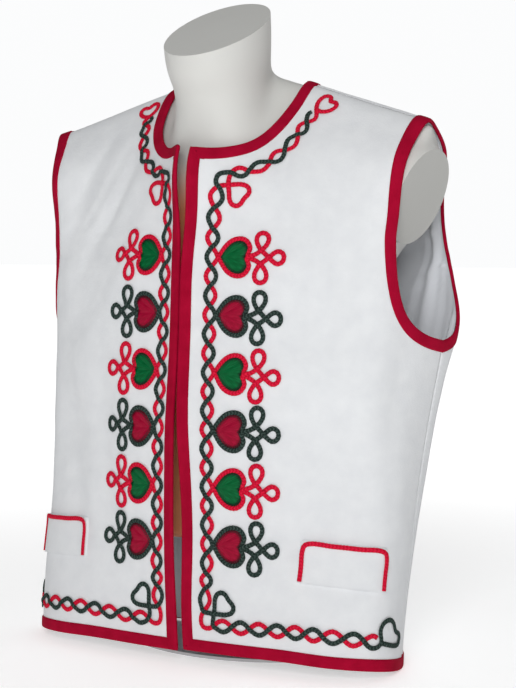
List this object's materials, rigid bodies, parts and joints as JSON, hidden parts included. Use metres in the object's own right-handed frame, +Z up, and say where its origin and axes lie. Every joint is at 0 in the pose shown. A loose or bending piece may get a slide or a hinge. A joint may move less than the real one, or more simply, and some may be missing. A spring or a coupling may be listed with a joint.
{
  "type": "embroidered folk vest on a limbless dress form",
  "caption": "Open-front felt vest with bound edges, interlaced braid borders and heart ornaments, worn by a limbless torso form on a post with an oval base.",
  "frame": {"origin": "centre of the base plate's underside, on the floor below the middle of the form", "axes": "+Z up along the post, -Y towards the wearer's front, +X towards the wearer's left"},
  "size_m": [0.4778, 0.2346, 0.7058],
  "materials": {
    "white_wool_felt": "dense matt white wool felt with a short nap",
    "white_lining": "thin white woven lining",
    "crimson_binding": "matt crimson felt folded over the edges",
    "crimson_felt": "crimson satin-stitched heart",
    "green_satin": "green satin-stitched heart with a soft sheen",
    "red_braid": "red soutache-like braid sewn flat",
    "green_braid": "dark green braid sewn flat",
    "form_shell": "smooth matt off-white shell",
    "stand_metal": "satin steel post and plate"
  },
  "bodies": {
    "root": {"back": "white_wool_felt", "binding_armhole_back_left": "crimson_binding", "binding_armhole_back_right": "crimson_binding", "binding_armhole_front_left": "crimson_binding", "binding_armhole_front_right": "crimson_binding", "binding_front_left": "crimson_binding", "binding_front_right": "crimson_binding", "binding_hem_back": "crimson_binding", "binding_hem_left": "crimson_binding", "binding_hem_right": "crimson_binding", "binding_neck_back": "crimson_binding", "binding_neck_left": "crimson_binding", "binding_neck_right": "crimson_binding", "chain_green_left": "green_braid", "chain_green_right": "green_braid", "chain_red_left": "red_braid", "chain_red_right": "red_braid", "form_base": "stand_metal", "form_post": "stand_metal", "form_torso": "form_shell", "front_left": "white_wool_felt", "front_right": "white_wool_felt", "heart_1_left": "green_satin", "heart_1_right": "green_satin", "heart_2_left": "crimson_felt", "heart_2_right": "crimson_felt", "heart_3_left": "green_satin", "heart_3_right": "green_satin", "heart_4_left": "crimson_felt", "heart_4_right": "crimson_felt", "heart_5_left": "green_satin", "heart_5_right": "green_satin", "heart_6_left": "crimson_felt", "heart_6_right": "crimson_felt", "lining_back": "white_lining", "motif_braid_1_left": "red_braid", "motif_braid_1_right": "red_braid", "motif_braid_2_left": "green_braid", "motif_braid_2_right": "green_braid", "motif_braid_3_left": "red_braid", "motif_braid_3_right": "red_braid", "motif_braid_4_left": "green_braid", "motif_braid_4_right": "green_braid", "motif_braid_5_left": "red_braid", "motif_braid_5_right": "red_braid", "motif_braid_6_left": "green_braid", "motif_braid_6_right": "green_braid", "pocket_braid_left": "red_braid", "pocket_braid_right": "red_braid", "pocket_welt_left": "white_wool_felt", "pocket_welt_right": "white_wool_felt"}
  },
  "joints": []
}
